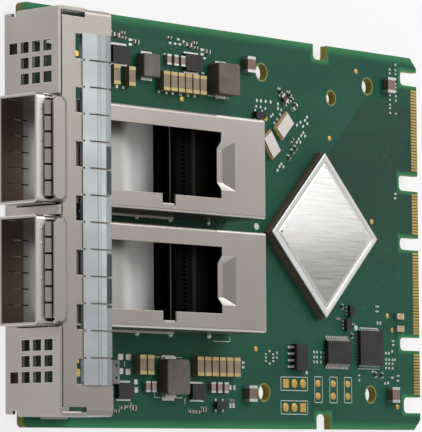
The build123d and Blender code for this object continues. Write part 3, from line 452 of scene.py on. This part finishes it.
class Gather:
    """Many small solids of one material in one mesh."""

    def __init__(self):
        self.mesh = bmesh.new()

    def stack(self, x, y, rings, turn=0.0):
        """A closed solid through outlines at rising heights, turned by an angle in degrees."""
        c, s = math.cos(math.radians(turn)), math.sin(math.radians(turn))
        loops = [
            [self.mesh.verts.new(place(x + u * c - v * s, y + u * s + v * c, z)) for u, v in outline]
            for outline, z in rings
        ]
        for lower, upper in zip(loops, loops[1:]):
            for k in range(len(lower)):
                n = (k + 1) % len(lower)
                self.mesh.faces.new((lower[k], lower[n], upper[n], upper[k]))
        self.mesh.faces.new(loops[-1])
        self.mesh.faces.new(list(reversed(loops[0])))

    def block(self, x, y, length, width, low, high, turn=0.0, bevel=0.05, corner=0.0):
        """A box with a bevelled top."""
        inner = rectangle(length - 2 * bevel, width - 2 * bevel, corner * 0.7)
        outer = rectangle(length, width, corner)
        self.stack(x, y, [(outer, low), (outer, high - bevel), (inner, high)], turn)

    def pad(self, x, y, length, width, turn=0.0, thickness=0.03):
        """A flat pad on the board."""
        corner = 0.12 * min(length, width)
        self.block(x, y, length, width, -SINK, thickness, turn, thickness * 0.4, corner)

    def line(self, x0, y0, x1, y1, width=0.15):
        """A printed line with rounded ends."""
        length = math.hypot(x1 - x0, y1 - y0) + width
        turn = math.degrees(math.atan2(y1 - y0, x1 - x0))
        middle = ((x0 + x1) / 2, (y0 + y1) / 2)
        self.block(*middle, length, width, -SINK, 0.02, turn, 0.008, 0.3 * width)

    def frame(self, x0, y0, x1, y1, width=0.15):
        """Four printed lines round a rectangle."""
        for a, b, c, d in ((x0, y0, x1, y0), (x1, y0, x1, y1), (x1, y1, x0, y1), (x0, y1, x0, y0)):
            self.line(a, b, c, d, width)

    def dome(self, x, y, radius, height, low=-SINK, count=16, stretch=1.0):
        """A low rounded drop."""
        rings = [(disc(radius, count, stretch), low)]
        for k in range(5):
            t = math.pi / 2 * k / 5
            rings.append((disc(radius * math.cos(t), count, stretch), low + 0.02 + height * math.sin(t)))
        rings.append((disc(radius * 0.12, count, stretch), low + 0.02 + height))
        self.stack(x, y, rings)

    def ring(self, x, y, inner, outer, low, high, count=40):
        """A flat ring round a hole."""
        around = []
        for k in range(count):
            t = 2 * math.pi * k / count
            c, s = math.cos(t), math.sin(t)
            around.append([
                self.mesh.verts.new(place(x + r * c, y + r * s, z))
                for r, z in ((inner, low), (outer, low), (outer, high), (inner, high))
            ])
        for k in range(count):
            here, there = around[k], around[(k + 1) % count]
            for j in range(4):
                n = (j + 1) % 4
                self.mesh.faces.new((here[j], there[j], there[n], here[n]))

    def done(self, name, look, slot):
        """Makes the piece, and rides it on the card."""
        bmesh.ops.recalc_face_normals(self.mesh, faces=self.mesh.faces)
        data = bpy.data.meshes.new(name)
        self.mesh.to_mesh(data)
        self.mesh.free()
        piece = bpy.data.objects.new(name, data)
        bpy.context.scene.collection.objects.link(piece)
        data.materials.append(look.material)
        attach(piece, "root")
        return piece


pads, lines, bodies, ends = Gather(), Gather(), Gather(), Gather()
blacks, rings, greys, spots = Gather(), Gather(), Gather(), Gather()


def chip(x, y, length=1.0, width=0.5, height=0.35, turn=0.0, black=False):
    """A chip resistor or capacitor: a body between two soldered ends, on two pads."""
    c, s = math.cos(math.radians(turn)), math.sin(math.radians(turn))
    (blacks if black else bodies).block(x, y, length * 0.62, width * 0.94, 0.03, height, turn, 0.04)
    for side in (-1, 1):
        reach = side * length * 0.38
        ends.block(x + reach * c, y + reach * s, length * 0.26, width, 0.0, height + 0.02, turn, 0.05)
        reach = side * length * 0.46
        pads.pad(x + reach * c, y + reach * s, length * 0.42, width * 1.15, turn)


def pad_pairs(places, length, width, turn=0.0):
    for x, y in places:
        pads.pad(x, y, length, width, turn)


# around the power stages of the upper edge
for shift, light in ((0.0, 0.0), (20.0, 0.1)):
    lines.line(23.3 + shift, 32.75, 27.2 + shift, 32.75, 0.22)
    lines.line(23.4 + shift, 29.0 + light, 27.3 + shift, 29.0 + light, 0.2)
    pads.pad(23.2 + shift, 34.75, 0.6, 0.55)
    chip(24.3 + shift, 34.3, 1.6, 0.75, 0.45)
    chip(26.2 + shift, 34.85, 1.0, 0.55)
    chip(26.4 + shift, 33.95, 1.1, 0.55)
    pad_pairs([(28.4 + shift, 33.75), (28.4 + shift, 32.9)], 0.9, 0.5)
    chip(29.8 + shift, 33.5, 1.2, 0.8, 0.45, 0, True)
pads.pad(49.1, 32.2, 0.7, 0.4)
lines.line(48.4, 29.3, 48.9, 29.3, 0.3)
chip(35.6, 31.0, 0.6, 1.0, 0.35, 90)
chip(39.0, 35.2, 1.1, 0.5)
pad_pairs([(41.7, 35.1), (39.4, 34.2), (40.8, 34.2), (42.1, 34.2), (37.9, 31.9)], 0.7, 0.4)
pad_pairs([(x, 24.75) for x in (24.7, 26.4, 36.2, 38.3, 40.0, 42.2, 44.3, 46.2)], 0.65, 0.6)
lines.line(50.1, 25.15, 56.0, 25.15, 0.2)
lines.line(33.0, 26.6, 33.0, 27.0, 0.12)

# between the second inductor and the processor
pad_pairs([(64.3, 25.4), (65.5, 25.4), (66.9, 25.4), (68.4, 25.4), (70.6, 25.2), (70.6, 24.3)], 0.5, 0.6)
pad_pairs([(64.1, 24.2), (65.4, 24.2), (66.8, 24.0), (71.6, 24.1), (68.5, 22.6), (69.0, 23.0)], 0.45, 0.5)
pad_pairs([(71.3, 23.1), (70.4, 22.1), (69.6, 21.3)], 0.8, 0.45, -45)
chip(72.1, 26.4, 1.9, 1.1, 0.7, -45)
chip(75.4, 25.0, 1.5, 0.8, 0.5, 45)
chip(71.1, 27.8, 1.2, 0.6, 0.4, -45, True)
chip(73.9, 27.4, 1.2, 0.6, 0.4, -45)
chip(73.0, 25.4, 1.1, 0.55, 0.4, 45, True)
chip(74.4, 26.3, 1.1, 0.55, 0.4, 45, True)
cluster = [
    (79.4, 23.3), (78.8, 22.6), (79.5, 22.0), (77.4, 22.1), (76.3, 21.5), (78.2, 21.4),
    (78.2, 20.1), (77.6, 19.5), (78.8, 19.5), (76.8, 18.8), (77.3, 18.2), (76.2, 18.1),
    (71.5, 13.5), (72.1, 13.0), (70.9, 13.0), (70.3, 12.2),
]
pad_pairs(cluster, 0.6, 0.5, 45)
chip(75.7, 17.0, 1.0, 0.5, 0.35, -45)
chip(74.7, 16.2, 1.0, 0.5, 0.35, -45, True)
chip(73.6, 15.0, 1.0, 0.5, 0.35, -45)
chip(74.6, 18.3, 1.0, 0.5, 0.35, 45, True)

# around the power stages and the inductor of the lower edge
pad_pairs([(25.3, -25.0), (27.4, -25.0), (25.3, -27.6), (27.3, -27.7)], 1.35, 1.1)
lines.line(26.4, -25.9, 26.4, -26.7, 0.14)
greys.block(22.9, -27.8, 2.0, 4.4, -0.01, 1.2, 0, 0.12, 0.15)
for y in (-26.6, -28.9):
    spots.stack(22.9, y, [(disc(0.32, 12), 1.18), (disc(0.32, 12), 1.22)])
for x0, x1 in ((24.0, 27.8), (44.2, 48.0)):
    lines.line(x0, -29.45, x1, -29.45, 0.18)
    lines.line(x0, -32.85, x1, -32.85, 0.22)
lines.line(28.0, -33.4, 28.3, -33.9, 0.18)
pad_pairs([(29.4, -29.5), (29.5, -31.0)], 0.9, 1.0)
chip(25.6, -34.3, 1.1, 0.55)
chip(27.0, -34.1, 1.1, 0.55)
chip(24.1, -34.9, 1.0, 0.55, 0.35, 0, True)
chip(28.5, -34.3, 1.1, 0.9, 0.5, 0, True)
chip(44.4, -34.8, 1.1, 0.55)
chip(46.2, -34.9, 1.1, 0.55)
chip(47.9, -34.4, 1.0, 0.9, 0.5, 0, True)
for y in (-24.8, -32.3):
    lines.line(34.7, y, 36.0, y, 0.14)
    lines.line(40.4, y, 42.0, y, 0.14)
    pads.pad(38.2, y - 0.1, 3.4, 0.9)
lines.line(34.5, -32.3, 34.5, -31.4, 0.12)
lines.line(42.9, -32.4, 42.9, -33.4, 0.12)
lines.line(51.0, -21.5, 55.8, -21.5, 0.14)
lines.line(55.8, -21.5, 55.8, -20.6, 0.14)
pad_pairs([(59.6, -25.4), (59.6, -26.25)], 0.7, 0.5)
pad_pairs([(55.8, -30.2), (57.0, -30.2), (55.8, -33.6), (56.7, -33.6)], 0.6, 0.9)
chip(56.0, -32.7, 1.0, 0.55)

# footprints left of the memory chip, its mark, and the outlines of the option jumpers
for y in (-23.6, -24.25, -24.9):
    pads.pad(66.3, y, 0.55, 0.35)
    pads.pad(68.5, y, 0.55, 0.35)
pad_pairs([(67.4, -25.4), (67.4, -23.0), (69.6, -23.3), (69.6, -24.2)], 0.5, 0.45)
lines.dome(78.6, -27.0, 0.32, 0.02)
lines.frame(70.7, -30.5, 78.8, -27.9, 0.14)
lines.frame(70.7, -35.1, 78.8, -32.5, 0.14)
for x0 in (81.0, 85.65, 90.2):
    lines.frame(x0, -32.75, x0 + 2.3, -27.7, 0.14)
for x in (80.9, 81.8, 83.0, 83.9):
    for y in (-22.9, -23.85, -24.8):
        if x != 83.9 or y > -24:
            pads.pad(x, y, 0.5, 0.55)

# round the controller and behind it
lines.line(95.3, -17.75, 101.0, -17.75, 0.2)
lines.line(94.6, -25.9, 101.4, -25.9, 0.12)
lines.dome(94.1, -17.8, 0.55, 0.02)
pad_pairs([(100.9, -13.3), (100.9, -14.3)], 1.1, 0.3)
pad_pairs([(101.0, -16.6), (101.9, -16.6)], 0.45, 0.7)
grid = [(103.6, -22.6), (104.5, -22.6), (105.6, -22.2), (103.2, -28.7), (104.2, -28.6)]
grid += [(x, y) for x in (103.6, 104.6, 105.7) for y in (-23.9, -24.7, -25.6)] + [(106.5, -23.9)]
pad_pairs(grid, 0.55, 0.5)
pad_pairs([(106.0, -20.1), (106.0, -20.9), (107.5, -27.1), (107.4, -28.1), (105.6, -27.5)], 0.8, 0.35)
pad_pairs([(94.9, -27.2), (94.9, -28.2), (99.2, -26.4)], 0.6, 0.35)
chip(100.0, -27.0, 1.0, 0.55, 0.35, 90, True)
chip(102.1, -27.1, 1.0, 0.55, 0.35, 90, True)
chip(92.6, -19.4, 0.9, 0.5, 0.35, 90)
chip(89.6, -13.7, 0.9, 0.5, 0.35, 90, True)
chip(88.3, -16.2, 0.9, 0.5, 0.35, 0)
chip(93.0, -17.1, 0.9, 0.5, 0.35, 0)

# pad columns beside the rear capacitor and on the contact edge's side
for y in (35.1, 34.3, 29.8, 28.9, 27.9, 27.2, 26.2):
    pads.pad(105.9, y, 0.5, 0.42)
for y in (36.2, 35.1, 34.3, 33.3, 32.3, 31.6, 30.8, 29.8, 28.9, 26.2):
    pads.pad(107.8, y, 0.5, 0.42)
pad_pairs([(107.3, 9.8), (107.2, 8.9)], 0.7, 0.4)

# rings of bare laminate round the heat sink holes and the locating hole, on both faces
RING_WIDTH = 0.25
holes = [(x, y, 1.6) for x in (65.65, 98.45) for y in (31.0, -31.0)] + [(86.9, 27.7, 1.35)]
for x, y, radius in holes:
    rings.ring(x, y, radius, radius + RING_WIDTH, -SINK, 0.03)
    rings.ring(x, y, radius, radius + RING_WIDTH, -BOARD_THICKNESS - SINK, -BOARD_THICKNESS + SINK)

# solder at the cages' pins, on the board beside the walls
for center in PORT_CENTERS:
    for x in (29.6, 38.8, 49.6):
        ends.dome(x, center - CAGE_HALF_WIDTH - 0.42, 0.62, 0.5)
        ends.dome(x, center + CAGE_HALF_WIDTH + 0.42, 0.62, 0.5)

# a tinned oval between the cages
wide_oval, top_oval = disc(0.66, 24, 1.1), disc(0.62, 24, 1.1)
pads.stack(63.9, 0.9, [(wide_oval, -SINK), (wide_oval, 0.02), (top_oval, 0.04)])

pads.done("solder_pads", solder, "solder")
lines.done("printed_lines", ink, "solder")
bodies.done("small_chip_bodies", chip_brown, "brown_ceramic")
blacks.done("small_black_chips", chip_black, "chip_plastic")
ends.done("small_chip_ends", solder, "solder")
rings.done("hole_rings", hole_ring, "circuit_board")
greys.done("grey_block", grey_plastic, "chip_plastic")
spots.done("grey_block_spots", dark_spot, "chip_plastic")

# weld spots on the collars' bands
welds = Gather()
for y in (17.7, 12.0, 6.0, -3.4, -6.1, -12.2, -15.2):
    welds.dome(-5.2, y, 0.28, 0.05, 9.78, 12)
welds.done("collar_weld_spots", collar_metal, "cage_metal")


def panel_look():
    """Brushed along the card, with a painted reflection that greys it at its lower end, and bowed up a little
    as a pressed lid is.
    """
    m = Nodes("lid_panel")
    streaks = m.noise(3200, 2.0, (0.04, 1, 1))
    bright = m.ramp(streaks, [(0.3, linear((226, 225, 224))), (0.7, linear((246, 245, 244)))])
    grey = m.ramp(streaks, [(0.3, linear((152, 151, 149))), (0.7, linear((178, 177, 175)))])
    x, y, _ = m.card()
    # painted reflection: the panel's colour fades to grey towards its lower end
    low = m.fade(m.math("SUBTRACT", y, m.product(x, 0.12)), -5.0, -18.0)
    m.link(m.mix(m.product(low, 0.8), bright, grey), m.shader.inputs["Base Color"])
    m.shader.inputs["Metallic"].default_value = 1.0
    m.link(m.fade(streaks, 0.3, 0.7, 0.27, 0.36), m.shader.inputs["Roughness"])
    along = m.math("SUBTRACT", x, LID_CENTER)
    across_bow = m.product(m.math("POWER", y, 2.0), 2.6e-6)
    along_bow = m.product(m.math("POWER", along, 2.0), 0.6e-6)
    arch = m.add("ShaderNodeBump", invert=True)
    arch.inputs["Strength"].default_value = 1.0
    arch.inputs["Distance"].default_value = 1.0
    m.link(m.math("ADD", across_bow, along_bow), arch.inputs["Height"])
    m.bump(streaks, 0.01, 0.00005, arch.outputs["Normal"])
    return m


def rounded_square(half, radius, steps=4):
    """A square's outline with rounded corners."""
    out = []
    for corner in range(4):
        start = corner * math.pi / 2
        cx, cy = [(1, 1), (-1, 1), (-1, -1), (1, -1)][corner]
        for k in range(steps + 1):
            t = start + math.pi / 2 * k / steps
            x = cx * (half - radius) + radius * math.cos(t)
            y = cy * (half - radius) + radius * math.sin(t)
            out.append((x, y))
    return out


# the lid from its lower rim to its panel: half its width, its corner radius and the height
LID_PROFILE = [
    (11.5, 0.15, 1.1), (11.5, 0.15, 2.0), (11.48, 0.15, 2.05), (11.44, 0.15, 2.08), (11.38, 0.15, 2.09),
    (11.30, 0.15, 2.09), (10.40, 0.75, 2.09), (10.37, 0.75, 2.08), (10.34, 0.74, 2.045), (10.31, 0.73, 2.035),
    (10.26, 0.72, 2.035), (10.16, 0.7, 2.055), (10.04, 0.67, 2.085), (9.92, 0.64, 2.115), (9.8, 0.61, 2.135),
    (9.7, 0.58, 2.146), (9.6, 0.55, 2.15),
]
pressed = Gather()
pressed.stack(LID_CENTER, 0, [(rounded_square(half, radius), z) for half, radius, z in LID_PROFILE], LID_TURN)
for face in pressed.mesh.faces:
    face.smooth = True
lid = pressed.done("processor_lid_pressed", lid_metal, "nickel_lid")
lid.data.materials.append(panel_look().material)
for face in lid.data.polygons:
    if len(face.vertices) > 4 and face.normal.z > 0.9:
        face.material_index = 1
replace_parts(lid, "processor_lid")
mark = Gather()
mark.stack(68.95, 0.15, [(disc(0.24, 16), 2.1), (disc(0.24, 16), 2.152)])
mark.done("lid_corner_mark", dark_spot, "nickel_lid")

# connector details: a pale line across each front, which is a painted highlight on the connector's front, and
# the folded tab in each side notch
front_highlights, tabs = Gather(), Gather()
for center in PORT_CENTERS:
    front_highlights.block(33.38, center, 0.16, 15.8, 5.12, 5.3, 0, 0.03)
    tabs.block(28.25, center - 8.02, 3.1, 0.34, 9.0, 9.5, 0, 0.06)
front_highlights.done("connector_front_highlights", grey_plastic, "connector_plastic")
tabs.done("notch_tabs", collar_metal, "cage_metal")

# gold spring pads on the board, seen through the outer windows
golds = Gather()
for x, y, long, wide in ((14.0, 29.9, 1.0, 1.0), (13.9, -26.0, 0.8, 0.7), (14.0, -28.1, 1.1, 1.4)):
    golds.block(x, y, long, wide, -SINK, 0.06, 0, 0.02, 0.2)
golds.done("gold_spots", gold, "gold_plating")

# round gold pads in place of the jumpers' and test points' plain ones
ROW_PITCH = 2.6
TEST_POINTS = [
    (42.6, 23.9), (95, 33.75), (86.4, 19.6), (99.5, 3.7), (63.4, -22.7), (104.2, -15.1),
    (105.8, -17.9), (107.2, -33.4), (66.9, 22),
]
plated, points = Gather(), Gather()
for x, y, square in ((74.8, -29.15, -1), (74.75, -33.8, 1)):
    for k in (-1, 0, 1):
        if k == square:
            plated.block(x + ROW_PITCH * k, y, 1.75, 1.75, 0.0, 0.06, 0, 0.03, 0.1)
        else:
            plated.dome(x + ROW_PITCH * k, y, 0.86, 0.07, 0.0, 28)
for x in (82.0, 86.75, 91.3):
    for y in (-31.475, -29.025):
        plated.dome(x, y, 0.68, 0.06, 0.0, 24, 1.12)
for x, y in TEST_POINTS:
    points.dome(x, y, 0.5, 0.04, 0.0, 24)
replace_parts(plated.done("option_pads_round", gold, "gold_plating"), "option_pads")
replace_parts(points.done("test_pads_round", gold, "gold_plating"), "test_pads")

# Light and view

FLOOR_REACH = 3.0
FLOOR_HEIGHT = -0.0002
corners = [(i * FLOOR_REACH, j * FLOOR_REACH, FLOOR_HEIGHT) for i, j in ((-1, -1), (1, -1), (1, 1), (-1, 1))]
floor_mesh = bpy.data.meshes.new("floor")
floor_mesh.from_pydata(corners, [], [(0, 1, 2, 3)])
floor = bpy.data.objects.new("floor", floor_mesh)
bpy.context.scene.collection.objects.link(floor)
floor_look = Nodes("floor")
floor_look.shader.inputs["Base Color"].default_value = (0.9, 0.9, 0.9, 1)
floor_look.shader.inputs["Roughness"].default_value = 0.9
path = floor_look.add("ShaderNodeLightPath")
glow = floor_look.add("ShaderNodeEmission")
glow.inputs["Color"].default_value = (1, 1, 1, 1)
glow.inputs["Strength"].default_value = 1.0
seen = floor_look.math("MAXIMUM", path.outputs["Is Camera Ray"], path.outputs["Is Glossy Ray"])
seen = floor_look.product(seen, 0.8)
blend = floor_look.add("ShaderNodeMixShader")
output = floor_look.tree.nodes["Material Output"]
floor_look.link(seen, blend.inputs["Fac"])
floor_look.link(floor_look.shader.outputs["BSDF"], blend.inputs[1])
floor_look.link(glow.outputs["Emission"], blend.inputs[2])
floor_look.link(blend.outputs["Shader"], output.inputs["Surface"])
floor_mesh.materials.append(floor_look.material)

# a studio sky that is brightest high over the contact edge
world = bpy.data.worlds.new("studio")
bpy.context.scene.world = world
world.use_nodes = True
tree = world.node_tree
sky = tree.nodes["Background"]
sky.inputs["Color"].default_value = (1.0, 0.995, 0.985, 1)
way = tree.nodes.new("ShaderNodeTexCoord")
lobe = tree.nodes.new("ShaderNodeVectorMath")
lobe.operation = "DOT_PRODUCT"
lobe.inputs[1].default_value = Vector((0.72, 0.05, 0.69)).normalized()
tree.links.new(way.outputs["Generated"], lobe.inputs[0])
level = tree.nodes.new("ShaderNodeMapRange")
level.interpolation_type = "SMOOTHSTEP"
level.inputs["From Min"].default_value = 0.3
level.inputs["From Max"].default_value = 1.0
level.inputs["To Min"].default_value = 0.36
level.inputs["To Max"].default_value = 0.58
tree.links.new(lobe.outputs["Value"], level.inputs["Value"])
tree.links.new(level.outputs["Result"], sky.inputs["Strength"])


def area_light(name, where, size, power):
    """A rectangular lamp that looks at the middle of the card's underside."""
    data = bpy.data.lights.new(name, "AREA")
    data.shape = "RECTANGLE"
    data.size, data.size_y = size
    data.energy = power
    light = bpy.data.objects.new(name, data)
    light.location = where
    light.rotation_euler = (-Vector(where)).to_track_quat("-Z", "Y").to_euler()
    bpy.context.scene.collection.objects.link(light)


area_light("key", (0.22, 0.26, 0.36), (0.3, 0.3), 1.0)
area_light("rear", (0.46, 0.0, 0.12), (0.3, 0.05), 0.07)
area_light("sheen", (0.326, 0.110, 0.303), (0.20, 0.07), 0.045)

# the camera as fitted to the board's corners in the photograph
CAMERA_SPOT = (-0.45802, -0.04549, 0.40308)
CAMERA_FORWARD = (0.74808, 0.07857, -0.65894)
CAMERA_RIGHT = (0.66141, -0.00750, 0.74999)
camera_data = bpy.data.cameras.new("camera")
camera_data.sensor_width = 36.0
camera_data.lens = 266.99
camera_data.clip_start = 0.01
camera_data.clip_end = 20
camera = bpy.data.objects.new("camera", camera_data)
forward = Vector(CAMERA_FORWARD).normalized()
right = Vector(CAMERA_RIGHT)
right = (right - forward * right.dot(forward)).normalized()
up = right.cross(forward)
turn = Matrix((right, up, -forward)).transposed().to_4x4()
camera.matrix_world = Matrix.Translation(Vector(CAMERA_SPOT)) @ turn
bpy.context.scene.collection.objects.link(camera)
bpy.context.scene.camera = camera

scene = bpy.context.scene
scene.view_settings.view_transform = "Standard"
